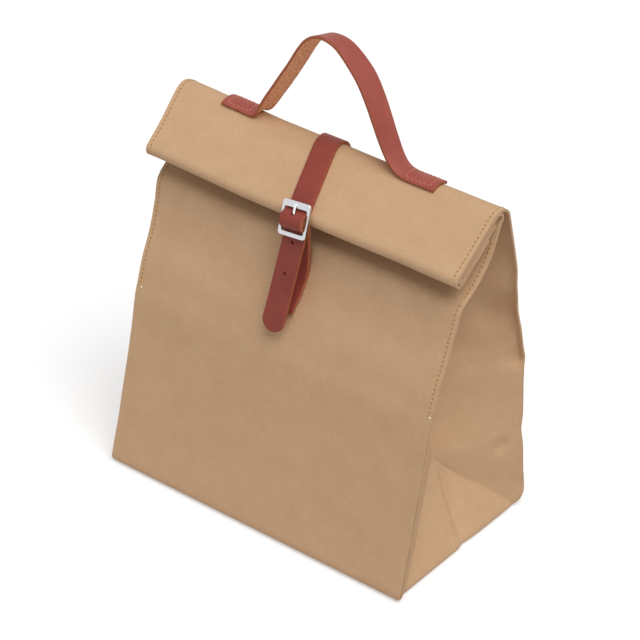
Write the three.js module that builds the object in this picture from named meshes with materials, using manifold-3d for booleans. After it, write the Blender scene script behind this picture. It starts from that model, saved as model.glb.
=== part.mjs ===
// Roll-top lunch bag of washable kraft paper, with a leather carry handle,
// a leather closure strap and a small pin buckle on a strap of its own.
// Millimetres, +Z up. X is the bag's width, the front faces -Y, and the origin is the middle of the base.
import * as THREE from 'three';
import { mergeVertices } from 'three/addons/utils/BufferGeometryUtils.js';
import Module from 'manifold-3d';

const wasm = await Module();
wasm.setup();

// Paper body: each row is a height, the front panel's y, the back panel's y and the half width there
const LEVELS = [
  [0, -66, 66, 109],
  [2, -67, 67, 110],
  [14, -65, 66.4, 110],
  [30, -62, 63, 109.7],
  [56, -57.6, 58.6, 109.3],
  [90, -52, 54.4, 109],
  [115, -48.8, 51.2, 109],
  [124, -46.6, 47.8, 109],
  [140, -42.6, 42.2, 109],
  [156, -36.6, 36.6, 109],
  [172, -32, 31.4, 109.3],
  [186, -28, 28.2, 110],
  [191, -21, 26.5, 110.2],
  [196, -14.5, 24.6, 110.4],
  [206.5, -6, 20.7, 110.6],
  [218.5, -1, 16.1, 110.8],
  [228, 2.4, 12.5, 110.8],
];
const PAPER = 0.8;
const SEAM_WIDTH = 3.5;
const SEAM_FOOT = 118;
const OPEN_EDGE_GAP = 1.2;
const GUSSET_HALF = 62.5;
const GUSSET_FOLD_WIDTH = 1.5;
const CREASE_HEIGHT = 56;
const CREASE_FOOT = 62;

// Rolled top: the panels go over a round ridge, down a sloping face, round a nose and up again inside
const RIDGE = new THREE.Vector2(1.1, 225.6);
const RIDGE_RADIUS = 11.5;
const FACE_SLOPE = THREE.MathUtils.degToRad(37.7);
const BACK_SLOPE = THREE.MathUtils.degToRad(20.8);
const FACE_LENGTH = 38.8;
const ROLL_HALF_WIDTH = 110.8;
const PANEL_STACK = 1.6;
const BACK_PANEL_DEPTHS = [0.8, 8.6];
const FRONT_PANEL_DEPTHS = [3, 6.4];
const BACK_PANEL_RIM = 9.8;
const FRONT_PANEL_RIM = 0.8;
const INNER_LOOP = { along: -2.5, depth: 6.9, radius: 3.9 };
const BACK_PANEL_JOIN = 212;
const FRONT_PANEL_JOINS = [208, 218.5];

// Leather: handle, closure strap and the short strap that carries the buckle
const LEATHER = 2;
const LINING_LEATHER = 1.5;
const STRAP_WIDTH = 14.6;
const BUCKLE_STRAP_WIDTH = 14;
const HANDLE_WIDTH = 15;
const PAPER_CLEARANCE = 0.4;
const HANDLE_CLEARANCE = 0.3;
const PUNCH_RADIUS = 1.1;
const STRAP_LIFT = PAPER_CLEARANCE + LEATHER / 2;

// Handle, left to right: x, z of the strap's middle, its twist in degrees, and how far it wraps the ridge
const HANDLE_STATIONS = [
  [-81, 238.4, 0, 1],
  [-70, 238.4, 0, 1],
  [-61, 238.5, 0, 1],
  [-57.5, 239.8, -3, 0.8],
  [-54.5, 243, -7, 0.4],
  [-48.5, 252.5, -11, 0],
  [-40, 267, -12, 0],
  [-33, 279.5, -11, 0],
  [-27.5, 290.5, -11, 0],
  [-23, 297.3, -11, 0],
  [-17, 301.4, -11, 0],
  [-10, 302.2, -8, 0],
  [-2, 300, -2, 0],
  [7, 293.5, 6, 0],
  [15, 285.5, 11, 0],
  [22, 274.5, 12, 0],
  [28, 263, 11, 0],
  [33.5, 252.5, 8, 0],
  [38.5, 245.3, 4, 0.4],
  [44, 240.4, 0, 0.8],
  [50, 238.6, 0, 1],
  [60, 238.4, 0, 1],
  [70, 238.4, 0, 1],
];

// Buckle: a flat frame that lies across the roll's nose, with a round bar between its two windows
const BUCKLE_CENTRE = new THREE.Vector3(2.3, -42.7, 207.9);
const BUCKLE_TILT = THREE.MathUtils.degToRad(20);
const BUCKLE_ROLL = THREE.MathUtils.degToRad(5);
const BUCKLE_HEIGHT = 21;
const WINDOW_WIDTH = 15.2;
const SIDE_BAR = 1.9;
const TOP_BAR = 4.1;
const BOTTOM_BAR = 2.7;
const FRAME_THICKNESS = 2;
const FRAME_CORNER = 2.2;
const WINDOW_CORNER = 1;
const BAR_RADIUS = 1;

// Prong: an eye on the bar and a straight tongue that rests on the top bar
const EYE_INNER_RADIUS = 1.08;
const EYE_OUTER_RADIUS = 2.4;
const EYE_WIDTH = 2.4;
const PRONG_WIDTH = 1.6;
const PRONG_LENGTH = 9.6;
const PRONG_TIP_RADIUS = 0.7;
const PRONG_FOOT = 1.15;
const PRONG_SLOT = 3.2;
const STRAP_SLOT_UP = [1.5, 6.5];
const STRAP_SLOT_OUT = [0.7, 3.9];
const LOOP_SLOT_UP = [-3.2, 4];
const LOOP_SLOT_OUT = [-3.2, 4];

// Closure strap's route: up the back, over the ridge, down the roll's face, over the bar and down the front
const STRAP_BACK_HEIGHTS = [158, 172, 186, 191, 196, 206.5, 218.5];
const STRAP_RIDGE_X = -8;
const STRAP_RIDGE_DRIFT = 2.3;
const STRAP_FACE_X = 1.7;
const STRAP_TAIL_END = new THREE.Vector3(-4.6, -50.2, 133.8);
const STRAP_LOOP_RADIUS = 4.25;
const STRAP_LOOP_START = THREE.MathUtils.degToRad(28);
const STRAP_LOOP_END = THREE.MathUtils.degToRad(152);
const STRAP_UNDER_BAR = new THREE.Vector2(-6.2, -2.3);
const STRAP_BELOW_BAR = new THREE.Vector2(-9.4, -3.6);
const STRAP_TIP_SHARES = [1, 0.64, 0.37, 0.16, 0.04];
const HOLE_DISTANCES = [4, 25];

// Buckle strap's route, measured from the bar
const LOOP_RADIUS = 2.15;
const LOOP_SWING = THREE.MathUtils.degToRad(112);
const LOOP_NECK = [[-1.7, 1.75], [-3.6, 1.0], [-8, 0.9]];
const BUCKLE_STRAP_LANDING = 184;
const BUCKLE_STRAP_FOOT = 145;
const BUCKLE_STRAP_FOOT_X = -2;
const BUCKLE_STRAP_HEIGHTS = [172, 156];
const BUCKLE_STRAP_BACK_FOOT = 152;
const LAYER_OFFSETS = { back: 1.15, front: 2.95 };

// Fineness of the curves
const ARC_STEPS = 8;
const CORNER_STEPS = 5;
const ROUND_SIDES = 24;
const PUNCH_SIDES = 12;
const SLOPE_STEP = 2;

const X_AXIS = new THREE.Vector3(1, 0, 0);

const kraft = new THREE.MeshStandardMaterial({ color: 0xc19c75, roughness: 0.85, metalness: 0 });
const leather = new THREE.MeshStandardMaterial({ color: 0x98503f, roughness: 0.5, metalness: 0 });
const nickel = new THREE.MeshStandardMaterial({ color: 0xe6e6e8, roughness: 0.2, metalness: 1 });

// Solids and booleans
function toSolid(geometry) {
  const bare = geometry.clone();
  bare.deleteAttribute('normal');
  bare.deleteAttribute('uv');
  const merged = mergeVertices(bare, 1e-4);
  const mesh = new wasm.Mesh({
    numProp: 3,
    vertProperties: new Float32Array(merged.attributes.position.array),
    triVerts: new Uint32Array(merged.index.array),
  });
  return new wasm.Manifold(mesh);
}

function toGeometry(solid) {
  const mesh = solid.getMesh();
  const geometry = new THREE.BufferGeometry();
  geometry.setAttribute('position', new THREE.BufferAttribute(new Float32Array(mesh.vertProperties), 3));
  geometry.setIndex(Array.from(mesh.triVerts));
  geometry.computeVertexNormals();
  return geometry;
}

// A closed skin over rings of equal length; plan gives the flat outline that triangulates the end caps
function loft(rings, plan) {
  const count = rings[0].length;
  const points = rings.flat();
  const index = [];
  for (let level = 0; level < rings.length - 1; level += 1) {
    for (let i = 0; i < count; i += 1) {
      const next = (i + 1) % count;
      const low = level * count;
      const high = low + count;
      index.push(low + i, low + next, high + next);
      index.push(low + i, high + next, high + i);
    }
  }
  const last = (rings.length - 1) * count;
  for (const [a, b, c] of THREE.ShapeUtils.triangulateShape(plan(0), [])) {
    index.push(a, c, b);
  }
  for (const [a, b, c] of THREE.ShapeUtils.triangulateShape(plan(rings.length - 1), [])) {
    index.push(last + a, last + b, last + c);
  }
  const geometry = new THREE.BufferGeometry().setFromPoints(points);
  geometry.setIndex(index);
  return geometry;
}

// A strip of even thickness along a path of points, as a flat outline
function stripShape(path, thickness) {
  const left = [];
  const right = [];
  path.forEach((point, i) => {
    const before = path[Math.max(i - 1, 0)];
    const after = path[Math.min(i + 1, path.length - 1)];
    const heading = after.clone().sub(before).normalize();
    const side = new THREE.Vector2(-heading.y, heading.x).multiplyScalar(thickness / 2);
    left.push(point.clone().add(side));
    right.push(point.clone().sub(side));
  });
  return new THREE.Shape([...left, ...right.reverse()]);
}

// An outline drawn in Y and Z, pushed along X from -half to half
function extrudeAcross(shape, half) {
  const geometry = new THREE.ExtrudeGeometry(shape, { depth: 2 * half, bevelEnabled: false });
  const turn = new THREE.Matrix4().makeBasis(
    new THREE.Vector3(0, 1, 0),
    new THREE.Vector3(0, 0, 1),
    X_AXIS,
  );
  geometry.applyMatrix4(turn);
  geometry.translate(-half, 0, 0);
  return geometry;
}

function arcPoints(from, to, at) {
  const steps = Array.from({ length: ARC_STEPS + 1 }, (_, i) => i / ARC_STEPS);
  return steps.map((share) => at(THREE.MathUtils.lerp(from, to, share)));
}

// Panel position at any height, read between the levels
function panelAt(height, column) {
  const above = LEVELS.findIndex((row) => row[0] >= height);
  const low = LEVELS[Math.max(above - 1, 0)];
  const high = LEVELS[above];
  const share = high[0] === low[0] ? 0 : (height - low[0]) / (high[0] - low[0]);
  return THREE.MathUtils.lerp(low[column], high[column], share);
}

const frontAt = (height) => panelAt(height, 1);
const backAt = (height) => panelAt(height, 2);

function panelSlope(panel, height) {
  return (panel(height + SLOPE_STEP) - panel(height - SLOPE_STEP)) / (2 * SLOPE_STEP);
}

// One upright edge: a sewn fin above the seam's foot, two open paper edges with a gap below it
function edgeFold(height, panel, half, inward) {
  const sewn = height > SEAM_FOOT;
  const fin = sewn ? 2 * PAPER : PAPER;
  const root = half - SEAM_WIDTH;
  const gussetEdge = sewn ? root - PAPER / 2 : half - PAPER;
  const gap = sewn ? PAPER : OPEN_EDGE_GAP;
  return [
    new THREE.Vector2(half, panel),
    new THREE.Vector2(half, panel + inward * fin),
    new THREE.Vector2(root, panel + inward * (fin + gap / 3)),
    new THREE.Vector2(gussetEdge, panel + inward * (fin + gap)),
  ];
}

// The gusset's two middle points: base creases that rise to one point, then a centre fold that sinks in
function gussetFold(height, front, back, half) {
  const middle = (front + back) / 2;
  const span = (back - front) / 2 - 2 * PAPER;
  const depth = Math.sqrt(GUSSET_HALF ** 2 - span ** 2);
  const root = height > SEAM_FOOT ? half - SEAM_WIDTH : half;
  if (height >= CREASE_HEIGHT) {
    const fold = (side) => new THREE.Vector2(root - depth, middle + (side * GUSSET_FOLD_WIDTH) / 2);
    return [fold(-1), fold(1)];
  }
  const rise = height / CREASE_HEIGHT;
  const creaseSpan = (backAt(CREASE_HEIGHT) - frontAt(CREASE_HEIGHT)) / 2 - 2 * PAPER;
  const creaseDepth = Math.sqrt(GUSSET_HALF ** 2 - creaseSpan ** 2);
  const spread = THREE.MathUtils.lerp(CREASE_FOOT, GUSSET_FOLD_WIDTH / 2, rise);
  const crease = (side) => new THREE.Vector2(half - PAPER - creaseDepth * rise, side * spread);
  return [crease(-1), crease(1)];
}

function bodyRing([height, front, back, half]) {
  const right = [
    ...edgeFold(height, front, half, 1),
    ...gussetFold(height, front, back, half),
    ...edgeFold(height, back, half, -1).reverse(),
  ];
  const left = right.map((point) => new THREE.Vector2(-point.x, point.y)).reverse();
  return [...right, ...left];
}

// A point of the roll: how far down its face from the ridge, and how deep below that face
function rollPoint(along, depth) {
  const out = RIDGE_RADIUS - depth;
  return new THREE.Vector2(
    RIDGE.x - along * Math.cos(FACE_SLOPE) - out * Math.sin(FACE_SLOPE),
    RIDGE.y - along * Math.sin(FACE_SLOPE) + out * Math.cos(FACE_SLOPE),
  );
}

function ridgeArc(radius) {
  return arcPoints(BACK_SLOPE, Math.PI / 2 + FACE_SLOPE, (angle) => new THREE.Vector2(
    RIDGE.x + radius * Math.cos(angle),
    RIDGE.y + radius * Math.sin(angle),
  ));
}

function noseArc([outer, inner]) {
  const middle = (outer + inner) / 2;
  const radius = (inner - outer) / 2;
  return arcPoints(-Math.PI / 2, Math.PI / 2, (angle) => rollPoint(
    FACE_LENGTH + radius * Math.cos(angle),
    middle + radius * Math.sin(angle),
  ));
}

function backPanelPath() {
  return [
    new THREE.Vector2(backAt(BACK_PANEL_JOIN) - PANEL_STACK / 2, BACK_PANEL_JOIN),
    ...ridgeArc(RIDGE_RADIUS - PANEL_STACK / 2),
    ...noseArc(BACK_PANEL_DEPTHS),
    rollPoint(BACK_PANEL_RIM, BACK_PANEL_DEPTHS[1]),
  ];
}

function frontPanelPath() {
  const loop = arcPoints(Math.PI / 2, -Math.PI / 2, (angle) => rollPoint(
    INNER_LOOP.along - INNER_LOOP.radius * Math.cos(angle),
    INNER_LOOP.depth + INNER_LOOP.radius * Math.sin(angle),
  ));
  return [
    ...FRONT_PANEL_JOINS.map((height) => new THREE.Vector2(frontAt(height) + PANEL_STACK / 2, height)),
    ...loop,
    ...noseArc(FRONT_PANEL_DEPTHS),
    rollPoint(FRONT_PANEL_RIM, FRONT_PANEL_DEPTHS[1]),
  ];
}

function makeBag() {
  const outlines = LEVELS.map(bodyRing);
  const rings = outlines.map((ring, i) => ring.map((p) => new THREE.Vector3(p.x, p.y, LEVELS[i][0])));
  let bag = toSolid(loft(rings, (i) => outlines[i]));
  for (const path of [backPanelPath(), frontPanelPath()]) {
    bag = bag.add(toSolid(extrudeAcross(stripShape(path, PANEL_STACK), ROLL_HALF_WIDTH)));
  }
  return toGeometry(bag);
}

// A leather strap through stations: each has a middle point, the direction across it, a width,
// and where needed a twist and a bend across the width
function strap(stations, thickness, slices) {
  const outlines = stations.map(({ width, bend = 0 }) => {
    const across = Array.from({ length: slices + 1 }, (_, i) => width * (0.5 - i / slices));
    const surface = (w, lift) => {
      const angle = w * bend;
      const sideways = bend === 0 ? w : Math.sin(angle) / bend;
      const drop = bend === 0 ? 0 : (1 - Math.cos(angle)) / bend;
      return new THREE.Vector2(sideways + lift * Math.sin(angle), lift * Math.cos(angle) - drop);
    };
    const top = across.map((w) => surface(w, thickness / 2));
    const bottom = across.map((w) => surface(w, -thickness / 2)).reverse();
    return [...top, ...bottom];
  });
  const rings = stations.map(({ at, across, twist = 0 }, i) => {
    const before = stations[Math.max(i - 1, 0)].at;
    const after = stations[Math.min(i + 1, stations.length - 1)].at;
    const heading = after.clone().sub(before).normalize();
    const side = across.clone().addScaledVector(heading, -across.dot(heading)).normalize();
    side.applyAxisAngle(heading, twist);
    const up = heading.clone().cross(side);
    return outlines[i].map((p) => at.clone().addScaledVector(side, p.x).addScaledVector(up, p.y));
  });
  return loft(rings, (i) => outlines[i]);
}

function makeHandle() {
  const wrap = 1 / (RIDGE_RADIUS + HANDLE_CLEARANCE + LEATHER / 2);
  const stations = HANDLE_STATIONS.map(([x, z, twist, wrapped]) => ({
    at: new THREE.Vector3(x, RIDGE.x, z),
    across: new THREE.Vector3(0, 1, 0),
    twist: THREE.MathUtils.degToRad(twist),
    width: HANDLE_WIDTH,
    bend: wrapped * wrap,
  }));
  return strap(stations, LEATHER, 6);
}

// The buckle's own frame: x along its bars, y up its side bars, z out of its face
function buckleMatrix() {
  return new THREE.Matrix4()
    .makeTranslation(BUCKLE_CENTRE)
    .multiply(new THREE.Matrix4().makeRotationX(Math.PI / 2 - BUCKLE_TILT))
    .multiply(new THREE.Matrix4().makeRotationZ(BUCKLE_ROLL));
}

const BAR_HEIGHT = (BOTTOM_BAR - TOP_BAR) / 2;
const TO_BUCKLE = buckleMatrix();
const BUCKLE_ACROSS = X_AXIS.clone().transformDirection(TO_BUCKLE);

function onBuckle(up, out, across = 0) {
  return new THREE.Vector3(across, up, out).applyMatrix4(TO_BUCKLE);
}

function fromBar(up, out) {
  return onBuckle(BAR_HEIGHT + up, out);
}

function roundedRectangle(left, right, bottom, top, radius) {
  const shape = new THREE.Shape();
  shape.absarc(right - radius, top - radius, radius, 0, Math.PI / 2);
  shape.absarc(left + radius, top - radius, radius, Math.PI / 2, Math.PI);
  shape.absarc(left + radius, bottom + radius, radius, Math.PI, 1.5 * Math.PI);
  shape.absarc(right - radius, bottom + radius, radius, 1.5 * Math.PI, 2 * Math.PI);
  return shape;
}

function makeBuckleFrame() {
  const outerHalf = WINDOW_WIDTH / 2 + SIDE_BAR;
  const half = BUCKLE_HEIGHT / 2;
  const outline = roundedRectangle(-outerHalf, outerHalf, -half, half, FRAME_CORNER);
  const windowHalf = WINDOW_WIDTH / 2;
  outline.holes.push(
    roundedRectangle(-windowHalf, windowHalf, BOTTOM_BAR - half, half - TOP_BAR, WINDOW_CORNER),
  );
  const plate = new THREE.ExtrudeGeometry(outline, {
    depth: FRAME_THICKNESS,
    bevelEnabled: false,
    curveSegments: CORNER_STEPS,
  });
  plate.translate(0, 0, -FRAME_THICKNESS / 2);
  const bar = new THREE.CylinderGeometry(BAR_RADIUS, BAR_RADIUS, WINDOW_WIDTH + SIDE_BAR, ROUND_SIDES);
  bar.rotateZ(Math.PI / 2);
  bar.translate(0, BAR_HEIGHT, 0);
  const frame = toGeometry(toSolid(plate).add(toSolid(bar)));
  return frame.applyMatrix4(TO_BUCKLE);
}

function makeProng() {
  const eyeOutline = new THREE.Shape().absarc(0, 0, EYE_OUTER_RADIUS, 0, 2 * Math.PI);
  eyeOutline.holes.push(new THREE.Path().absarc(0, 0, EYE_INNER_RADIUS, 0, 2 * Math.PI));
  const eye = new THREE.ExtrudeGeometry(eyeOutline, {
    depth: EYE_WIDTH,
    bevelEnabled: false,
    curveSegments: ROUND_SIDES,
  });
  eye.translate(0, 0, -EYE_WIDTH / 2);
  eye.rotateY(Math.PI / 2);
  const half = PRONG_WIDTH / 2;
  const tongueOutline = roundedRectangle(-half, half, 0, PRONG_LENGTH, PRONG_TIP_RADIUS);
  const tongue = new THREE.ExtrudeGeometry(tongueOutline, {
    depth: EYE_OUTER_RADIUS - PRONG_FOOT,
    bevelEnabled: false,
    curveSegments: CORNER_STEPS,
  });
  tongue.translate(0, 0, PRONG_FOOT);
  const prong = toGeometry(toSolid(eye).add(toSolid(tongue)));
  prong.translate(0, BAR_HEIGHT, 0);
  return prong.applyMatrix4(TO_BUCKLE);
}

// A box in the buckle's frame, measured up and out from the bar, that lets the prong through a strap
function prongSlot(up, out) {
  const box = new THREE.BoxGeometry(PRONG_SLOT, up[1] - up[0], out[1] - out[0]);
  box.translate(0, BAR_HEIGHT + (up[0] + up[1]) / 2, (out[0] + out[1]) / 2);
  box.applyMatrix4(TO_BUCKLE);
  return toSolid(box);
}

function backStretch() {
  return STRAP_BACK_HEIGHTS.map((height) => {
    const normal = new THREE.Vector2(1, -panelSlope(backAt, height)).normalize();
    const out = normal.multiplyScalar(STRAP_LIFT);
    return new THREE.Vector3(STRAP_RIDGE_X, backAt(height) + out.x, height + out.y);
  });
}

function closureStations() {
  const ridge = ridgeArc(RIDGE_RADIUS + STRAP_LIFT);
  const overRidge = ridge.map((p, i) => {
    const drift = STRAP_RIDGE_DRIFT * (i / (ridge.length - 1)) ** 2;
    return new THREE.Vector3(STRAP_RIDGE_X + drift, p.x, p.y);
  });
  const faceFoot = rollPoint(FACE_LENGTH, -STRAP_LIFT);
  const leavesFace = new THREE.Vector3(STRAP_FACE_X, faceFoot.x, faceFoot.y);
  const faceNormal = new THREE.Vector3(0, -Math.sin(FACE_SLOPE), Math.cos(FACE_SLOPE));
  const acrossFace = BUCKLE_ACROSS.clone().projectOnPlane(faceNormal).normalize();
  const loop = arcPoints(STRAP_LOOP_START, STRAP_LOOP_END, (angle) => fromBar(
    STRAP_LOOP_RADIUS * Math.cos(angle),
    STRAP_LOOP_RADIUS * Math.sin(angle),
  ));
  const below = [STRAP_UNDER_BAR, STRAP_BELOW_BAR].map((p) => fromBar(p.x, p.y));
  const tailStart = below[1];
  const tail = STRAP_TAIL_END.clone().sub(tailStart);
  const tailLength = tail.length();
  const round = STRAP_WIDTH / 2;
  const tip = STRAP_TIP_SHARES.map((share) => share * round);
  const tailPoints = [tailLength / 2, ...tip].map((rest) => ({
    at: STRAP_TAIL_END.clone().addScaledVector(tail, -rest / tailLength),
    across: X_AXIS,
    width: rest >= round ? STRAP_WIDTH : 2 * Math.sqrt(round ** 2 - (round - rest) ** 2),
  }));
  const plain = (across) => (at) => ({ at, across, width: STRAP_WIDTH });
  return [
    ...backStretch().map(plain(X_AXIS)),
    ...overRidge.map(plain(X_AXIS)),
    plain(acrossFace)(leavesFace),
    ...loop.map(plain(BUCKLE_ACROSS)),
    ...below.map(plain(BUCKLE_ACROSS)),
    ...tailPoints,
  ];
}

function makeClosureStrap() {
  let band = toSolid(strap(closureStations(), LEATHER, 2));
  band = band.subtract(prongSlot(STRAP_SLOT_UP, STRAP_SLOT_OUT));
  const start = fromBar(STRAP_BELOW_BAR.x, STRAP_BELOW_BAR.y);
  const along = STRAP_TAIL_END.clone().sub(start).normalize();
  const out = along.clone().cross(X_AXIS).normalize();
  const turn = new THREE.Quaternion().setFromUnitVectors(new THREE.Vector3(0, 1, 0), out);
  for (const distance of HOLE_DISTANCES) {
    const punch = new THREE.CylinderGeometry(PUNCH_RADIUS, PUNCH_RADIUS, 3 * LEATHER, PUNCH_SIDES);
    punch.applyQuaternion(turn);
    punch.translate(...start.clone().addScaledVector(along, distance).toArray());
    band = band.subtract(toSolid(punch));
  }
  return toGeometry(band);
}

// The buckle strap: up the front panel, round the bar and back down behind itself
function makeBuckleStrap() {
  const bar = fromBar(0, 0);
  const landingY = frontAt(BUCKLE_STRAP_LANDING);
  const landing = new THREE.Vector3(BUCKLE_CENTRE.x, landingY, BUCKLE_STRAP_LANDING);
  const onPanel = (height, offset) => {
    const normal = new THREE.Vector2(-1, panelSlope(frontAt, height)).normalize();
    const share = (height - BUCKLE_STRAP_FOOT) / (BUCKLE_STRAP_LANDING - BUCKLE_STRAP_FOOT);
    const x = THREE.MathUtils.lerp(BUCKLE_STRAP_FOOT_X, BUCKLE_CENTRE.x, share);
    return new THREE.Vector3(x, frontAt(height) + offset * normal.x, height + offset * normal.y);
  };
  const rise = bar.clone().sub(landing).projectOnPlane(BUCKLE_ACROSS).normalize();
  const face = rise.clone().cross(BUCKLE_ACROSS).normalize();
  const nearBar = (along, out) => bar.clone().addScaledVector(rise, along).addScaledVector(face, -out);
  const upwards = [BUCKLE_STRAP_FOOT, ...BUCKLE_STRAP_HEIGHTS.toReversed()];
  const downwards = [...BUCKLE_STRAP_HEIGHTS, BUCKLE_STRAP_BACK_FOOT];
  const frontLayer = upwards.map((height) => onPanel(height, LAYER_OFFSETS.front));
  const backLayer = downwards.map((height) => onPanel(height, LAYER_OFFSETS.back));
  const roundBar = [
    ...LOOP_NECK.toReversed().map(([along, out]) => nearBar(along, out)),
    ...arcPoints(LOOP_SWING, -LOOP_SWING, (angle) => nearBar(
      LOOP_RADIUS * Math.cos(angle),
      LOOP_RADIUS * Math.sin(angle),
    )),
    ...LOOP_NECK.map(([along, out]) => nearBar(along, -out)),
  ];
  const plain = (across) => (at) => ({ at, across, width: BUCKLE_STRAP_WIDTH });
  const stations = [
    ...frontLayer.map(plain(X_AXIS)),
    ...roundBar.map(plain(BUCKLE_ACROSS)),
    ...backLayer.map(plain(X_AXIS)),
  ];
  const band = toSolid(strap(stations, LINING_LEATHER, 2));
  return toGeometry(band.subtract(prongSlot(LOOP_SLOT_UP, LOOP_SLOT_OUT)));
}

const bag = new THREE.Group();
const pieces = [
  ['bag', makeBag(), kraft],
  ['handle', makeHandle(), leather],
  ['closure_strap', makeClosureStrap(), leather],
  ['buckle_strap', makeBuckleStrap(), leather],
  ['buckle_frame', makeBuckleFrame(), nickel],
  ['buckle_prong', makeProng(), nickel],
];
for (const [name, geometry, material] of pieces) {
  const mesh = new THREE.Mesh(geometry, material);
  mesh.name = name;
  bag.add(mesh);
}

export default bag;
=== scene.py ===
"""Roll-top lunch bag: folded kraft paper, sewn edges, a leather handle and a buckled leather strap."""
import math

import bpy
from bpy.props import FloatProperty, FloatVectorProperty, PointerProperty
from mathutils import Matrix, Vector, noise


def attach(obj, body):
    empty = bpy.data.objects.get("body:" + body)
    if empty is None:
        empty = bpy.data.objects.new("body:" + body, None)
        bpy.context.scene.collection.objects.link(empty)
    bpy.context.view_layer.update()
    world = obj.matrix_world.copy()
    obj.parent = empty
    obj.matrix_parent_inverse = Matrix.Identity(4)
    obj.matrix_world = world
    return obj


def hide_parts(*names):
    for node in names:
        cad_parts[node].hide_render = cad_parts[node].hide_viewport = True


bl_info = {
    "name": "Roll-Top Lunch Bag",
    "version": (1, 0, 0),
    "blender": (4, 5, 0),
    "location": "View3D > Sidebar > Lunch Bag",
    "description": "Folds a kraft paper lunch bag and sews its leather handle, strap and buckle on",
    "category": "Add Mesh",
}

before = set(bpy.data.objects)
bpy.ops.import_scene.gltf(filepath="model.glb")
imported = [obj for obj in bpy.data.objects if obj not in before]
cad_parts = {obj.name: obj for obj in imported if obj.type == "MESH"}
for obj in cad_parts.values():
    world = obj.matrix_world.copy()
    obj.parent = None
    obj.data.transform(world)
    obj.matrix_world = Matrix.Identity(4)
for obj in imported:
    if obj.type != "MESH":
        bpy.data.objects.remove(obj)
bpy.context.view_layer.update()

# Working sizes are in millimetres and become metres where a mesh is made
MM = 0.001

# Paper body: height, front panel's y, back panel's y and half width
BODY_LEVELS = (
    (0, -66, 66, 109),
    (2, -67, 67, 110),
    (14, -65, 66.4, 110),
    (30, -62, 63, 109.7),
    (56, -57.6, 58.6, 109.3),
    (90, -52, 54.4, 109),
    (115, -48.8, 51.2, 109),
    (124, -46.6, 47.8, 109),
    (140, -42.6, 42.2, 109),
    (156, -36.6, 36.6, 109),
    (172, -32, 31.4, 109.3),
    (186, -28, 28.2, 110),
    (191, -21, 26.5, 110.2),
    (196, -14.5, 24.6, 110.4),
    (206.5, -6, 20.7, 110.6),
    (218.5, -1, 16.1, 110.8),
    (228, 2.4, 12.5, 110.8),
)
FRONT, BACK, HALF = 1, 2, 3
PLY = 0.8
WALL_STEP = 3.0
# Height and tuck of the rows that turn the wall into the base
BASE_TURN = ((0.4, 6.0), (1.2, 3.2), (2.2, 1.3), (3.4, 0.35), (4.6, 0.0))
EDGE_COLUMNS = (0, 0.4, 1.1, 2.2, 3.5, 5.0, 8.0)
MIDDLE_COLUMNS = 34
SEAM = 3.5
FRONT_SEAM_FOOT = 121
BACK_SEAM_FOOT = 111
SEAM_RUN_OUT = 5
SLIT_WIDTH = 1.0
SLIT_SETBACK = 0.3
SLIT_RISE = 4
BACK_FOLD_ROUND = 2.0
NEEDLE = 1.1
NEEDLE_SINK = 0.34
STITCH_INSET = 2.6
THREAD_END = 1.8
THREAD_LIFT = 0.12
LEATHER_THREAD_LIFT = 0.1
SEAM_POINTS = 30
GUSSET_HALF = 62.5
GUSSET_FOLD = 1.5
GUSSET_TOP = 206.5
CREASE_HEIGHT = 56
CREASE_FOOT = 62
GUSSET_STEPS = 18
GUSSET_MIDDLE_STEPS = 44
GUSSET_SMOOTHING = 1
BASE_CREASE_Y = 4
BASE_CREASE_DEPTH = 4.6
BASE_CREASE_REACH = 9
BASE_CREASE_RISE = (-6, 14)

# Rolled top
RIDGE = Vector((1.1, 225.6))
RIDGE_RADIUS = 11.5
FACE_SLOPE = math.radians(37.7)
BACK_SLOPE = math.radians(20.8)
FACE_LENGTH = 38.8
ROLL_HALF = 110.8
BACK_DEPTHS = (0.8, 8.6)
FRONT_DEPTHS = (3.0, 6.4)
BACK_RIM = 9.8
FRONT_RIM = 0.8
INNER_LOOP_ALONG = -2.5
INNER_LOOP_DEPTH = 6.9
INNER_LOOP_RADIUS = 3.9
FRONT_LEAVES = 218.5
BACK_LEAVES = 225
ROLL_ARC_STEPS = 14
ROLL_FACE_STEPS = 10
MERGE = 0.02

# Leather and buckle
LEATHER = 2.0
LINING = 1.5
STRAP_WIDTH = 14.6
BUCKLE_STRAP_WIDTH = 14.0
HANDLE_WIDTH = 15.0
STRAP_LIFT = 0.25 + LEATHER / 2
HANDLE_LIFT = 0.3
# Handle, left to right: x, z, twist in degrees and how far it wraps the ridge
HANDLE_STATIONS = (
    (-81, 238.4, 0, 1),
    (-70, 238.4, 0, 1),
    (-61, 238.5, 0, 1),
    (-57.5, 239.8, -3, 0.8),
    (-54.5, 243, -7, 0.4),
    (-48.5, 252.5, -11, 0),
    (-40, 267, -12, 0),
    (-33, 279.5, -11, 0),
    (-27.5, 290.5, -11, 0),
    (-23, 297.3, -11, 0),
    (-17, 301.4, -11, 0),
    (-10, 302.2, -8, 0),
    (-2, 300, -2, 0),
    (7, 293.5, 6, 0),
    (15, 285.5, 11, 0),
    (22, 274.5, 12, 0),
    (28, 263, 11, 0),
    (33.5, 252.5, 8, 0),
    (38.5, 245.3, 4, 0.4),
    (44, 240.4, 0, 0.8),
    (50, 238.6, 0, 1),
    (60, 238.4, 0, 1),
    (70, 238.4, 0, 1),
)
BUCKLE_CENTRE = Vector((2.3, -42.7, 207.9))
BUCKLE_TILT = math.radians(20)
BUCKLE_ROLL = math.radians(5)
BUCKLE_HEIGHT = 21.0
WINDOW_WIDTH = 15.2
SIDE_BAR = 1.9
TOP_BAR = 4.1
BOTTOM_BAR = 2.7
FRAME_THICKNESS = 2.0
FRAME_CORNER = 2.2
WINDOW_CORNER = 1.0
BAR_RADIUS = 1.0
BAR_HEIGHT = (BOTTOM_BAR - TOP_BAR) / 2
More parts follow.
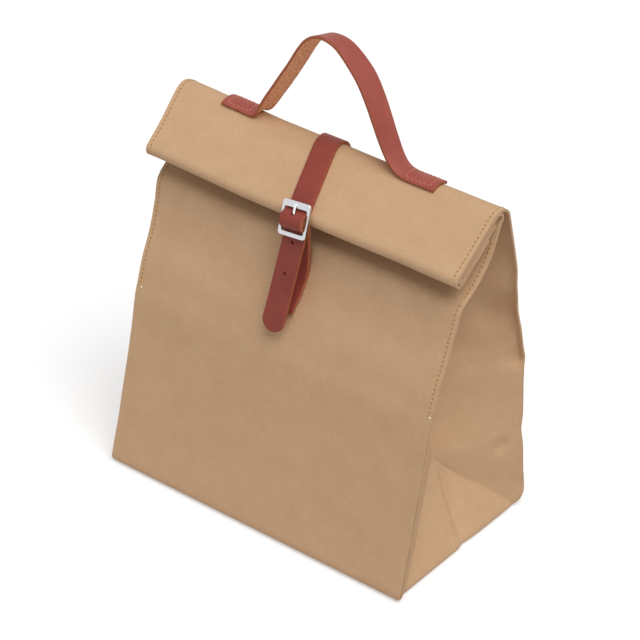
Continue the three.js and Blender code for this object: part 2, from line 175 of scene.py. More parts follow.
EYE_INNER = 1.08
EYE_OUTER = 2.4
EYE_WIDTH = 2.4
PRONG_WIDTH = 1.6
PRONG_LENGTH = 9.6
PRONG_FOOT = 1.15
PRONG_SLOT = 3.2
STRAP_BACK_HEIGHTS = (158, 172, 186, 191, 196, 206.5, 218.5)
STRAP_RIDGE_X = -8
STRAP_RIDGE_DRIFT = 2.3
STRAP_FACE_X = 1.7
STRAP_TAIL_END = Vector((-4.6, -50.2, 133.8))
STRAP_LOOP_RADIUS = 4.25
STRAP_LOOP = (math.radians(28), math.radians(152))
STRAP_BELOW_BAR = ((-6.2, -2.3), (-9.4, -3.6))
HOLE_DISTANCES = (4, 25)
PUNCH_RADIUS = 1.1
LOOP_RADIUS = 2.15
LOOP_SWING = math.radians(112)
LOOP_NECK = ((-1.7, 1.75), (-3.6, 1.0), (-8, 0.9))
BUCKLE_STRAP_LANDING = 184
BUCKLE_STRAP_FOOT_X = -2
BUCKLE_STRAP_UP = (145, 156, 172)
BUCKLE_STRAP_DOWN = (172, 156, 152)
STRAP_SLOT_UP = (1.5, 6.5)
STRAP_SLOT_OUT = (0.7, 3.9)
LOOP_SLOT_UP = (-3.2, 4)
LOOP_SLOT_OUT = (-3.2, 4)
TAIL_SHARES = (0.25, 0.5, 0.75, 0.89)
STRAP_COLUMNS = 9
BEND_STEPS = 8
# A round end stops just short of a point
END_STEPS = 8
END_QUARTER = 8.3
TAB_INSET = 2.2
TAB_SEAMS = ((-79, -62), (49, 68))
BACK_PATCH_TOP = 178
FRONT_LAYER = 2.95
BACK_LAYER = 1.15

# How the paper has settled: slow waves all over, and single dents as centre, reach and push
WAVES = ((70, 0.7), (24, 0.25))
WAVE_SEED = 7
WAVE_BASE = 40
BUCKLE_CALM = (22, 60)
DENTS = (
    ((110, 66, 0), 11, (-1.8, -2.4, 0.8)),
    ((101, 45, 52), 9, (-2.2, 0.8, 0)),
    ((108, 56, 60), 12, (-0.9, -0.4, 0)),
    ((96, 31, 150), 22, (-4.6, 2.6, 0)),
    ((100, 36, 118), 16, (1.6, -1.0, 0)),
    ((-112, -14, 218), 75, (-1.2, 0, 3.0)),
    ((-112, 3, 237), 38, (-4.0, 0, 0)),
)

# Camera and light
CAMERA_AZIMUTH = math.radians(34.76)
CAMERA_ELEVATION = math.radians(31.99)
CAMERA_ROLL = math.radians(3.73)
CAMERA_DISTANCE = 1552.22
CAMERA_TARGET = Vector((-2.73, -3.84, 120))
CAMERA_LENS = 146.25
SENSOR = 36
FLOOR_SIZE = 12.0
FLOOR_LIFT = 0.41
WORLD_LIGHT = 0.33
# Soft studio lamps: name, azimuth, elevation, strength and spread in degrees
LAMPS = (
    ("key", 54, 63, 2.3, 44),
)


def linear(code):
    """Linear colour of an sRGB hex value."""
    values = [int(code[i:i + 2], 16) / 255 for i in (0, 2, 4)]
    return [v / 12.92 if v <= 0.04045 else ((v + 0.055) / 1.055) ** 2.4 for v in values]


def colour(name, description, code):
    return FloatVectorProperty(
        name=name, description=description, subtype="COLOR", size=3, min=0, max=1, default=linear(code)
    )


def length(name, description, millimetres):
    return FloatProperty(name=name, description=description, unit="LENGTH", default=millimetres * MM)


class LunchBagSizes(bpy.types.PropertyGroup):
    """Sizes that a user would change."""

    paper: length("Paper", "Thickness of the kraft paper", 0.72)
    leather: length("Leather", "Thickness of the handle and closure strap", LEATHER)
    lining: length("Buckle strap", "Thickness of the strap that holds the buckle", LINING)
    thread: length("Thread", "Diameter of the sewing thread", 0.55)
    stitch: length("Stitch", "Distance from one stitch to the next on paper", 2.8)
    leather_stitch: length("Leather stitch", "Distance from one stitch to the next on leather", 2.6)


class LunchBagColours(bpy.types.PropertyGroup):
    """Colours that a user would change."""

    kraft: colour("Kraft", "Main tone of the paper", "D0AC88")
    kraft_dark: colour("Kraft shade", "Darker tone in the paper's mottling", "BF9873")
    fleck: colour("Fleck", "Pale fibres in the paper", "DFC4A2")
    leather: colour("Leather", "Smooth side of the leather", "924438")
    leather_dark: colour("Leather shade", "Darker tone of the smooth side", "833B31")
    # Painted light: these two handle tones are the strap's leather made lighter, standing in for the
    # brighter light that falls on the handle
    handle: colour("Handle", "Smooth side of the handle, a lighter cut of the hide", "A4564A")
    lit_handle_dark: colour("Handle shade", "Darker tone of the handle", "97493F")
    flesh: colour("Flesh side", "Rough side of the leather", "F2B088")
    flesh_dark: colour("Flesh flecks", "Dark flecks of the rough side", "B06A44")
    leather_edge: colour("Leather edge", "Cut edge of the leather", "AF6A48")
    nickel: colour("Nickel", "Plating of the buckle", "D6D6DA")
    thread: colour("Thread", "Sewing thread on the paper", "D2AC70")
    thread_end: colour("Thread end", "Frayed end of the paper's thread", "F7E6C4")
    # Painted shade: the dark colour given to the needle holes
    needle_hole_shade: colour("Needle holes", "Shade in the paper's needle holes", "84603F")
    leather_thread: colour("Leather thread", "Sewing thread on the leather", "D98F74")


# Small helpers


def mix(first, second, share):
    return first + (second - first) * share


def ease(value, low, high):
    share = min(max((value - low) / (high - low), 0), 1)
    return share * share * (3 - 2 * share)


def between(start, end, count):
    """Count points from start to end, without the start."""
    return [mix(start, end, i / count) for i in range(1, count + 1)]


def arc(place, start, end, steps):
    return [place(mix(start, end, i / steps)) for i in range(steps + 1)]


def level_at(height, column):
    """Smooth reading of the body's levels at a height."""
    rows = BODY_LEVELS
    above = next((i for i, row in enumerate(rows) if row[0] >= height), len(rows) - 1)
    low = min(max(above - 1, 0), len(rows) - 2)

    def slope(i):
        before, after = rows[max(i - 1, 0)], rows[min(i + 1, len(rows) - 1)]
        return (after[column] - before[column]) / (after[0] - before[0])

    start, end = rows[low], rows[low + 1]
    span = end[0] - start[0]
    t = (height - start[0]) / span
    bend = t * t * (3 - 2 * t)
    leave = t * (1 - t) ** 2 * span * slope(low)
    arrive = t * t * (t - 1) * span * slope(low + 1)
    return mix(start[column], end[column], bend) + leave + arrive


def settle(point):
    """Where a point of the made-up bag lies once the paper has settled."""
    grip = ease(point.z, 0, WAVE_BASE) * ease((point - BUCKLE_CENTRE).length, *BUCKLE_CALM)
    moved = point.copy()
    for reach, height in WAVES:
        moved += noise.noise_vector(point / reach) * height * grip
    for centre, reach, push in DENTS:
        near = 1 - (point - Vector(centre)).length / reach
        if near > 0:
            moved += Vector(push) * near * near * (3 - 2 * near)
    return moved


def deselect():
    if bpy.context.object and bpy.context.object.mode != "OBJECT":
        bpy.ops.object.mode_set(mode="OBJECT")
    bpy.ops.object.select_all(action="DESELECT")


def make_active(piece):
    deselect()
    piece.select_set(True)
    bpy.context.view_layer.objects.active = piece


def shaped_grid(name, columns, rows, place):
    """A grid whose points are moved one by one, place(row, column) giving millimetres."""
    deselect()
    bpy.ops.mesh.primitive_grid_add(x_subdivisions=columns - 1, y_subdivisions=rows - 1, size=1)
    piece = bpy.context.object
    piece.name = name
    if len(piece.data.vertices) != columns * rows:
        raise RuntimeError(f"{name}: the grid has an unexpected number of points")
    for index, vertex in enumerate(piece.data.vertices):
        vertex.co = place(*divmod(index, columns)) * MM
    return piece


def join(name, pieces):
    make_active(pieces[0])
    for piece in pieces:
        piece.select_set(True)
    bpy.ops.object.join()
    joined = bpy.context.object
    joined.name = name
    joined.data.name = name
    return joined


def apply_modifier(piece, kind, **settings):
    make_active(piece)
    modifier = piece.modifiers.new(kind.title(), kind)
    for key, value in settings.items():
        setattr(modifier, key, value)
    bpy.ops.object.modifier_apply(modifier=modifier.name)


def smooth_shade(piece, degrees=40):
    make_active(piece)
    bpy.ops.object.shade_smooth_by_angle(angle=math.radians(degrees))


def hand_over(piece, body, slot, *nodes):
    """Rides the finished piece on its body, in place of the solids that it stands for."""
    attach(piece, body)
    if nodes:
        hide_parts(*nodes)


# Materials

MIX_FACTOR, MIX_FIRST, MIX_SECOND, MIX_COLOUR = 0, 6, 7, 2


def add_node(tree, kind, inputs=None, **settings):
    """Adds a node with its settings; inputs gives each socket a value or a (node, output) link."""
    node = tree.nodes.new(kind)
    for key, value in settings.items():
        setattr(node, key, value)
    for socket, value in (inputs or {}).items():
        if isinstance(value, tuple) and isinstance(value[0], bpy.types.Node):
            tree.links.new(value[0].outputs[value[1]], node.inputs[socket])
        else:
            node.inputs[socket].default_value = value
    return node


def new_material(name, roughness, **sockets):
    material = bpy.data.materials.new(name)
    material.use_nodes = True
    tree = material.node_tree
    shader = tree.nodes["Principled BSDF"]
    shader.inputs["Roughness"].default_value = roughness
    for socket, value in sockets.items():
        shader.inputs[socket.replace("_", " ")].default_value = value
    return material, tree, shader, add_node(tree, "ShaderNodeTexCoord")


def blend(tree, factor, first, second, kind="MIX"):
    inputs = {MIX_FACTOR: factor, MIX_FIRST: first, MIX_SECOND: second}
    return add_node(tree, "ShaderNodeMix", inputs, data_type="RGBA", blend_type=kind), MIX_COLOUR


def rgba(value):
    return (*value, 1)


def kraft_paper(colours):
    """Washable kraft paper is a matt pulp sheet: softly mottled, with short fibres and pale flecks."""
    material, tree, shader, place = new_material("washable_kraft_paper", 0.8, Specular_IOR_Level=0.25)
    at = (place, "Object")
    mottle = add_node(tree, "ShaderNodeTexNoise", {
        "Vector": at, "Scale": 1 / (16 * MM), "Detail": 6.0, "Roughness": 0.7})
    tone = add_node(tree, "ShaderNodeMapRange", {
        "Value": (mottle, 0), "From Min": 0.34, "From Max": 0.7, "To Min": 0.0, "To Max": 0.45})
    # Pulp fibres are finer than a pixel, so they are drawn about 1.5 mm across
    fibre = add_node(tree, "ShaderNodeTexNoise", {
        "Vector": at, "Scale": 1 / (1.5 * MM), "Detail": 3.0, "Roughness": 0.7})
    grain = add_node(tree, "ShaderNodeMapRange", {
        "Value": (fibre, 0), "From Min": 0.3, "From Max": 0.7, "To Min": 0.0, "To Max": 0.5})
    spots = add_node(tree, "ShaderNodeTexVoronoi", {"Vector": at, "Scale": 1 / (8 * MM)})
    fleck = add_node(tree, "ShaderNodeMapRange", {
        "Value": (spots, "Distance"), "From Min": 0.03, "From Max": 0.07, "To Min": 0.28, "To Max": 0.0})
    body = blend(tree, (tone, 0), rgba(colours.kraft), rgba(colours.kraft_dark))
    fibred = blend(tree, (grain, 0), body, rgba(colours.kraft_dark))
    flecked = blend(tree, (fleck, 0), fibred, rgba(colours.fleck))
    tree.links.new(flecked[0].outputs[flecked[1]], shader.inputs["Base Color"])
    crinkle = add_node(tree, "ShaderNodeTexNoise", {
        "Vector": at, "Scale": 1 / (9 * MM), "Detail": 2.0, "Roughness": 0.5})
    low = add_node(tree, "ShaderNodeBump", {
        "Strength": 0.35, "Distance": 0.5 * MM, "Height": (crinkle, 0)})
    fine = add_node(tree, "ShaderNodeBump", {
        "Strength": 0.25, "Distance": 0.12 * MM, "Height": (fibre, 0), "Normal": (low, 0)})
    tree.links.new(fine.outputs[0], shader.inputs["Normal"])
    return material


def smooth_leather(name, light, dark):
    """Drum-dyed, lightly finished leather: soft sheen, tiny pebbled grain, cloudy red-brown tone."""
    material, tree, shader, place = new_material(name, 0.5, Specular_IOR_Level=0.22)
    at = (place, "Object")
    cloud = add_node(tree, "ShaderNodeTexNoise", {
        "Vector": at, "Scale": 1 / (14 * MM), "Detail": 4.0, "Roughness": 0.6})
    tone = add_node(tree, "ShaderNodeMapRange", {
        "Value": (cloud, 0), "From Min": 0.35, "From Max": 0.7, "To Min": 0.0, "To Max": 0.8})
    body = blend(tree, (tone, 0), rgba(light), rgba(dark))
    tree.links.new(body[0].outputs[body[1]], shader.inputs["Base Color"])
    # Grain pebbles are about 0.3 mm and are drawn at 0.9 mm so that they show
    pebble = add_node(tree, "ShaderNodeTexVoronoi", {"Vector": at, "Scale": 1 / (0.9 * MM)})
    bump = add_node(tree, "ShaderNodeBump", {
        "Strength": 0.22, "Distance": 0.1 * MM, "Height": (pebble, "Distance")})
    tree.links.new(bump.outputs[0], shader.inputs["Normal"])
    return material


def rough_leather(name, light, dark, clump):
    """The flesh side or cut edge of leather: loose tan fibres, no sheen, dark specks between the clumps."""
    material, tree, shader, place = new_material(name, 0.9, Specular_IOR_Level=0.15)
    at = (place, "Object")
    nap = add_node(tree, "ShaderNodeTexNoise", {
        "Vector": at, "Scale": 1 / (clump * MM), "Detail": 3.0, "Roughness": 0.65})
    speck = add_node(tree, "ShaderNodeMapRange", {
        "Value": (nap, 0), "From Min": 0.42, "From Max": 0.66, "To Min": 0.0, "To Max": 0.8})
    body = blend(tree, (speck, 0), rgba(light), rgba(dark))
    tree.links.new(body[0].outputs[body[1]], shader.inputs["Base Color"])
    bump = add_node(tree, "ShaderNodeBump", {"Strength": 0.6, "Distance": 0.25 * MM, "Height": (nap, 0)})
    tree.links.new(bump.outputs[0], shader.inputs["Normal"])
    return material


def nickel_plate(colours):
    """Tumbled nickel plate on a stamped zinc buckle: bright, slightly soft reflections, faint ripples."""
    material, tree, shader, place = new_material("nickel_plate", 0.2, Metallic=1.0)
    shader.inputs["Base Color"].default_value = rgba(colours.nickel)
    at = (place, "Object")
    ripple = add_node(tree, "ShaderNodeTexNoise", {
        "Vector": at, "Scale": 1 / (1.8 * MM), "Detail": 2.0, "Roughness": 0.5})
    polish = add_node(tree, "ShaderNodeMapRange", {
        "Value": (ripple, 0), "From Min": 0.3, "From Max": 0.7, "To Min": 0.16, "To Max": 0.3})
    tree.links.new(polish.outputs[0], shader.inputs["Roughness"])
    bump = add_node(tree, "ShaderNodeBump", {"Strength": 0.12, "Distance": 0.1 * MM, "Height": (ripple, 0)})
    tree.links.new(bump.outputs[0], shader.inputs["Normal"])
    return material


def sewing_thread(name, value):
    """Spun polyester thread: matt, with a fine twist of about 0.5 mm."""
    material, tree, shader, place = new_material(name, 0.7, Specular_IOR_Level=0.3)
    twist = add_node(tree, "ShaderNodeTexNoise", {
        "Vector": (place, "Object"), "Scale": 1 / (0.5 * MM), "Detail": 1.0, "Roughness": 0.5})
    shade = add_node(tree, "ShaderNodeMapRange", {
        "Value": (twist, 0), "From Min": 0.3, "From Max": 0.7, "To Min": 0.0, "To Max": 0.4})
    darker = rgba([part * 0.6 for part in value])
    body = blend(tree, (shade, 0), rgba(value), darker)
    tree.links.new(body[0].outputs[body[1]], shader.inputs["Base Color"])
    bump = add_node(tree, "ShaderNodeBump", {"Strength": 0.5, "Distance": 0.1 * MM, "Height": (twist, 0)})
    tree.links.new(bump.outputs[0], shader.inputs["Normal"])
    return material


def painted_hole_shade(colours):
    """Painted shade of a needle hole: the torn rim's loose fibres lie in shadow, and this dark dot stands in
    for that shade.
    """
    material, _, shader, _ = new_material("painted_hole_shade", 0.95, Specular_IOR_Level=0.1)
    shader.inputs["Base Color"].default_value = rgba(colours.needle_hole_shade)
    return material


def seen_rays(tree):
    """One for camera, glossy and transmission rays and zero for the rays that light the object."""
    path = add_node(tree, "ShaderNodeLightPath")
    seen = add_node(tree, "ShaderNodeMath", {
        0: (path, "Is Camera Ray"), 1: (path, "Is Glossy Ray")}, operation="MAXIMUM")
    return add_node(tree, "ShaderNodeMath", {
        0: (seen, 0), 1: (path, "Is Transmission Ray")}, operation="MAXIMUM")


def studio_floor():
    """Matt white paper sweep; what the camera sees straight on is lifted to white, shadows stay."""
    material, tree, shader, _ = new_material("white_sweep", 1.0, Specular_IOR_Level=0.0)
    shader.inputs["Base Color"].default_value = rgba(linear("D4D4D4"))
    seen = seen_rays(tree)
    lift = add_node(tree, "ShaderNodeMath", {0: (seen, 0), 1: FLOOR_LIFT}, operation="MULTIPLY")
    shader.inputs["Emission Color"].default_value = rgba(linear("FFFFFF"))
    tree.links.new(lift.outputs[0], shader.inputs["Emission Strength"])
    return material


# The folded paper


def front_at(height):
    return level_at(height, FRONT)


def back_at(height):
    return level_at(height, BACK)


def half_at(height):
    return level_at(height, HALF)


def roll_point(along, depth):
    """A point of the roll in y and z: how far down its face from the ridge, how deep below the face."""
    out = RIDGE_RADIUS - depth
    y = RIDGE.x - along * math.cos(FACE_SLOPE) - out * math.sin(FACE_SLOPE)
    z = RIDGE.y - along * math.sin(FACE_SLOPE) + out * math.cos(FACE_SLOPE)
    return Vector((y, z))


def nose(outer, inner):
    middle = (outer + inner) / 2
    radius = (inner - outer) / 2

    def place(angle):
        return roll_point(FACE_LENGTH + radius * math.cos(angle), middle + radius * math.sin(angle))

    return arc(place, -math.pi / 2, math.pi / 2, ROLL_ARC_STEPS)


def wall_heights(top):
    """Heights of the wall's rows above the turn into the base."""
    low = BASE_TURN[-1][0]
    count = round((top - low) / WALL_STEP)
    return [mix(low, top, i / count) for i in range(1, count + 1)]


def roll_path(turn, tip, rim):
    """Turn at the top, down the face, round the nose and up to the rim inside."""
    down = between(turn[-1], tip[0], ROLL_FACE_STEPS)[:-1]
    return [*turn, *down, *tip, *between(tip[-1], rim, ROLL_FACE_STEPS)]


def front_roll(inward):
    """Rolled part of a front layer; inward is how far it lies inside the middle of its two plies."""
    radius = INNER_LOOP_RADIUS + inward

    def loop(angle):
        along = INNER_LOOP_ALONG - radius * math.cos(angle)
        return roll_point(along, INNER_LOOP_DEPTH + radius * math.sin(angle))

    turn = arc(loop, math.pi / 2, -math.pi / 2, ROLL_ARC_STEPS)
    tip = nose(FRONT_DEPTHS[0] - inward, FRONT_DEPTHS[1] + inward)
    rim = roll_point(FRONT_RIM, FRONT_DEPTHS[1] + inward)
    return roll_path(turn, tip, rim)


def back_roll(inward):
    """Rolled part of a back layer: over the ridge, down the face, round the nose and up inside."""
    radius = RIDGE_RADIUS - PLY - inward

    def ridge(angle):
        return RIDGE + radius * Vector((math.cos(angle), math.sin(angle)))

    turn = arc(ridge, BACK_SLOPE, math.pi / 2 + FACE_SLOPE, ROLL_ARC_STEPS)
    tip = nose(BACK_DEPTHS[0] + inward, BACK_DEPTHS[1] - inward)
    rim = roll_point(BACK_RIM, BACK_DEPTHS[1] - inward)
    return roll_path(turn, tip, rim)


def front_wall(heights, inward):
    return [Vector((front_at(height) + PLY + inward, height)) for height in heights]


def back_wall(heights, inward):
    return [Vector((back_at(height) - PLY - inward, height)) for height in heights]


def tucked(x, y, tuck):
    """Draws a point of the wall in towards the base by the tuck of its row."""
    return x * (1 - tuck / BODY_LEVELS[1][HALF]), y * (1 - tuck / BODY_LEVELS[1][BACK])


def panel_columns():
    """Share of the half width and distance from its edge, left to right."""
    spread = MIDDLE_COLUMNS + 1
    left = [(-1, edge) for edge in EDGE_COLUMNS]
    middle = [(2 * i / spread - 1, EDGE_COLUMNS[-1]) for i in range(1, spread)]
    right = [(1, edge) for edge in reversed(EDGE_COLUMNS)]
    return [*left, *middle, *right]


def wall_rows(path):
    """Rows of a panel: y, z and the tuck towards the base."""
    turn = [(point, tuck) for point, (_, tuck) in zip(path, BASE_TURN)]
    return turn + [(point, 0) for point in path[len(BASE_TURN):]]


def base_heights(leaves):
    return [row[0] for row in BASE_TURN] + wall_heights(leaves)


def edge_curl(edge):
    """How far a back panel's edge is rounded off below its seam, that far from the edge."""
    lean = BACK_FOLD_ROUND - edge
    return BACK_FOLD_ROUND - math.sqrt(BACK_FOLD_ROUND ** 2 - lean ** 2)


def panel(name, path, walls, turn):
    """A panel from the base to its rolled rim; turn is 1 for the front and -1 for the back."""
    rows = wall_rows(path)
    columns = panel_columns()

    def place(row, column):
        point, tuck = rows[row]
        share, edge = columns[column]
        half = half_at(point.y) if row < walls else ROLL_HALF
        curl = 0
        if turn < 0 and row < walls and edge < BACK_FOLD_ROUND and abs(share) == 1:
            curl = edge_curl(edge) * (1 - sewn(point.y, BACK_SEAM_FOOT))
        x, y = tucked(turn * share * (half - edge), point.x - curl, tuck)
        return settle(Vector((x, y, point.y)))

    return shaped_grid(name, len(columns), len(rows), place)


def front_panel():
    heights = base_heights(FRONT_LEAVES)
    path = front_wall(heights, -PLY / 2) + front_roll(-PLY / 2)
    return panel("front_panel", path, len(heights), 1)


def back_panel():
    heights = base_heights(BACK_LEAVES)
    path = back_wall(heights, -PLY / 2) + back_roll(-PLY / 2)
    return panel("back_panel", path, len(heights), -1)


def sewn(height, foot):
    return ease(height, foot - SEAM_RUN_OUT, foot + SEAM_RUN_OUT)


def gusset_folds(height, front, back, half):
    """The gusset's two middle lines: base creases up to one point, then the centre fold that sinks in."""
    crease_span = (back_at(CREASE_HEIGHT) - front_at(CREASE_HEIGHT)) / 2 - 2 * PLY
    crease_depth = math.sqrt(GUSSET_HALF ** 2 - crease_span ** 2)
    if height < CREASE_HEIGHT:
        rise = height / CREASE_HEIGHT
        x = half - PLY - crease_depth * rise
        spread = mix(CREASE_FOOT, GUSSET_FOLD / 2, rise)
        return Vector((x, -spread)), Vector((x, spread))
    span = (back - front) / 2 - 2 * PLY
    depth = math.sqrt(GUSSET_HALF ** 2 - span ** 2)
    x = half - SEAM * sewn(height, FRONT_SEAM_FOOT) - depth
    middle = (front + back) / 2
    return Vector((x, middle - GUSSET_FOLD / 2)), Vector((x, middle + GUSSET_FOLD / 2))


def base_crease(y, height):
    """How far the base triangle's own crease sinks in: sharp towards the front, soft towards the back."""
    past = y - BASE_CREASE_Y
    reach = BASE_CREASE_REACH if past > 0 else BASE_CREASE_REACH / 5
    fade = 1 - ease(height, 0.6 * CREASE_HEIGHT, CREASE_HEIGHT)
    return BASE_CREASE_DEPTH * math.exp(-abs(past) / reach) * fade * ease(height, *BASE_CREASE_RISE)


def gusset_ring(height):
    """Section of the right gusset from its front edge to its back edge."""
    front, back, half = front_at(height), back_at(height), half_at(height)
    fold_front, fold_back = gusset_folds(height, front, back, half)
    opened = ease(height, 0, SLIT_RISE)
    slit = Vector((half - SLIT_SETBACK * opened, front + PLY / 2 + (PLY + SLIT_WIDTH) * opened))
    join_front, join_back = sewn(height, FRONT_SEAM_FOOT), sewn(height, BACK_SEAM_FOOT)
    tip_front = mix(slit, Vector((half, front + 1.5 * PLY)), join_front)
    corner = Vector((half, back - PLY / 2 - BACK_FOLD_ROUND))
    tip_back = mix(corner, Vector((half, back - 1.5 * PLY)), join_back)
    root_front = half_line(tip_front, fold_front, Vector((half - SEAM, front + 1.6 * PLY)), join_front)
    root_back = half_line(tip_back, fold_back, Vector((half - SEAM, back - 1.6 * PLY)), join_back)
    front_half = [tip_front, mix(tip_front, root_front, 0.5), root_front]
    front_half += between(root_front, fold_front, GUSSET_STEPS)
    back_half = [tip_back, mix(tip_back, root_back, 0.5), root_back]
    back_half += between(root_back, fold_back, GUSSET_STEPS)
    middle = between(fold_front, fold_back, GUSSET_MIDDLE_STEPS)[:-1]
    if height < CREASE_HEIGHT:
        middle = [Vector((p.x - base_crease(p.y, height), p.y)) for p in middle]
    return [*front_half, *middle, *reversed(back_half)]


def half_line(tip, fold, stitched, joined):
    """Root of a gusset half: on the stitch line where it is sewn, straight on to its fold where it isn't."""
    onward = tip + (fold - tip).normalized() * min(SEAM, (fold - tip).length / 2)
    return mix(onward, stitched, joined)


def smoothed(rows, first, last):
    """Rounds the folds of a grid of points, leaving its outer rows and the columns outside first to last."""
    for _ in range(GUSSET_SMOOTHING):
        before = [list(row) for row in rows]
        for r in range(len(BASE_TURN), len(rows) - 1):
            for c in range(first, last):
                around = before[r - 1][c] + before[r + 1][c] + before[r][c - 1] + before[r][c + 1]
                rows[r][c] = mix(before[r][c], around / 4, 0.7)
    return rows


def gusset_rows():
    heights = base_heights(GUSSET_TOP)
    tucks = [row[1] for row in BASE_TURN] + [0] * (len(heights) - len(BASE_TURN))
    rows = []
    for height, tuck in zip(heights, tucks):
        ring = [tucked(p.x, p.y, tuck) for p in gusset_ring(height)]
        rows.append([Vector((x, y, height)) for x, y in ring])
    return smoothed(rows, 4, len(rows[0]) - 4)


def gusset(side):
    rows = gusset_rows()
    columns = len(rows[0])

    def place(row, column):
        point = rows[row][column if side > 0 else columns - 1 - column]
        return settle(Vector((side * point.x, point.y, point.z)))

    return shaped_grid("gusset", columns, len(rows), place)


def rolled_ply(side, at_front):
    """The part of a gusset half that is rolled up with its panel."""
    ring = gusset_ring(GUSSET_TOP)
    half_columns = 3 + GUSSET_STEPS
    ring = ring[:half_columns] if at_front else ring[-half_columns:]
    leaves = FRONT_LEAVES if at_front else BACK_LEAVES
    heights = [GUSSET_TOP, *between(GUSSET_TOP, leaves, 5)]
    path = front_wall(heights, PLY / 2) if at_front else back_wall(heights, PLY / 2)
    path += front_roll(PLY / 2) if at_front else back_roll(PLY / 2)
    half = half_at(GUSSET_TOP)

    def place(row, column):
        point = ring[column if side > 0 else half_columns - 1 - column]
        lean = (point.y - path[0].x) * (1 - ease(row, 0, len(heights)))
        x = point.x + (ROLL_HALF - half) * ease(row, 0, len(heights))
        return settle(Vector((side * x, path[row].x + lean, path[row].y)))

    return shaped_grid("rolled_ply", half_columns, len(path), place)


def base_sheet():
    columns = panel_columns()
    height, tuck = BASE_TURN[0]
    edge = [tucked(p.x, p.y, tuck) for p in gusset_ring(height)]
    corner = tucked(half_at(height), 0, tuck)[0]

    def place(row, column):
        share, inset = columns[column]
        x, y = edge[len(edge) - 1 - row]
        reach = corner if row in (0, len(edge) - 1) else x
        return settle(Vector((share * (reach - inset * (1 - tuck / reach)), y, height)))

    return shaped_grid("base_sheet", len(columns), len(edge), place)


def fold_bag(sizes, colours):
    sheets = [front_panel(), back_panel(), base_sheet()]
    for side in (1, -1):
        sheets += [gusset(side), rolled_ply(side, True), rolled_ply(side, False)]
    bag = join("kraft_bag", sheets)
    make_active(bag)
    bpy.ops.object.mode_set(mode="EDIT")
    bpy.ops.mesh.select_all(action="SELECT")
    bpy.ops.mesh.remove_doubles(threshold=MERGE * MM)
    bpy.ops.object.mode_set(mode="OBJECT")
    apply_modifier(bag, "SOLIDIFY", thickness=sizes.paper, offset=0)
    smooth_shade(bag, 35)
    bag.data.materials.append(kraft_paper(colours))
    return bag


# Sewing


def stitch_shape(radius, span):
    """One stitch as points and faces: a short thread, thick in the middle, that dips at both ends."""
    deselect()
    bpy.ops.mesh.primitive_uv_sphere_add(segments=8, ring_count=8, radius=1)
    ball = bpy.context.object
    points = []
    for vertex in ball.data.vertices:
        along = vertex.co.z
        plump = math.sqrt(max(1 - along ** 4, 0))
        round_off = math.sqrt(max(1 - along ** 2, 1e-9))
        sink = -0.9 * radius * along ** 4
        points.append(Vector((
            along * span / 2,
            vertex.co.x / round_off * plump * radius,
            vertex.co.y / round_off * plump * radius + sink,
        )))
    faces = [tuple(face.vertices) for face in ball.data.polygons]
    bpy.data.objects.remove(ball)
    return points, faces


def sew(name, seams, thread, pitch, share=0.68, start=0.5):
    """One mesh of stitches; each seam is a list of (point, outward normal) in millimetres."""
    shape, faces = stitch_shape(thread / 2, pitch * share)
    points, all_faces = [], []
    for seam in seams:
        for at, along, out in spaced(seam, pitch, start):
            across = out.cross(along).normalized()
            turn = Matrix((along, across, out)).transposed()
            first = len(points)
            points += [(at + turn @ point) * MM for point in shape]
            all_faces += [tuple(first + i for i in face) for face in faces]
    mesh = bpy.data.meshes.new(name)
    mesh.from_pydata(points, [], all_faces)
    piece = bpy.data.objects.new(name, mesh)
    bpy.context.collection.objects.link(piece)
    smooth_shade(piece, 80)
    return piece


def spaced(seam, pitch, start):
    """Middles, directions and normals of stitches spaced evenly along a seam."""
    distances = [0]
    for (first, _), (second, _) in zip(seam, seam[1:]):
        distances.append(distances[-1] + (second - first).length)
    count = int(distances[-1] / pitch)
    found = []
    for i in range(count):
        goal = (i + start) * distances[-1] / count
        k = max(j for j in range(len(seam) - 1) if distances[j] <= goal)
        share = (goal - distances[k]) / max(distances[k + 1] - distances[k], 1e-6)
        along = (seam[k + 1][0] - seam[k][0]).normalized()
        out = mix(seam[k][1], seam[k + 1][1], share)
        out = (out - along * out.dot(along)).normalized()
        found.append((mix(seam[k][0], seam[k + 1][0], share), along, out))
    return found


def panel_seam(path, side, turn, lift):
    """A seam beside a panel's edge: path in y and z, turn 1 for a front panel and -1 for a back one."""
    seam = []
    for i, point in enumerate(path):
        heading = (path[min(i + 1, len(path) - 1)] - path[max(i - 1, 0)]).normalized()
        out = Vector((0, -turn * heading.y, turn * heading.x))
        x = half_at(min(point.y, BODY_LEVELS[-1][0])) - STITCH_INSET
        at = settle(Vector((side * x, point.x, point.y))) + out * lift
        seam.append((at, out))
    return seam


def edge_seams(lift):
    front_heights = [FRONT_SEAM_FOOT, *between(FRONT_SEAM_FOOT, FRONT_LEAVES, SEAM_POINTS)]
    back_heights = [BACK_SEAM_FOOT, *between(BACK_SEAM_FOOT, BACK_LEAVES, SEAM_POINTS)]
    front = front_wall(front_heights, -PLY / 2)
    back = back_wall(back_heights, -PLY / 2) + back_roll(-PLY / 2)[:2 * ROLL_ARC_STEPS]
    seams = []
    for side in (-1, 1):
        seams.append(panel_seam(front, side, 1, lift))
        seams.append(panel_seam(back, side, -1, lift))
    return seams


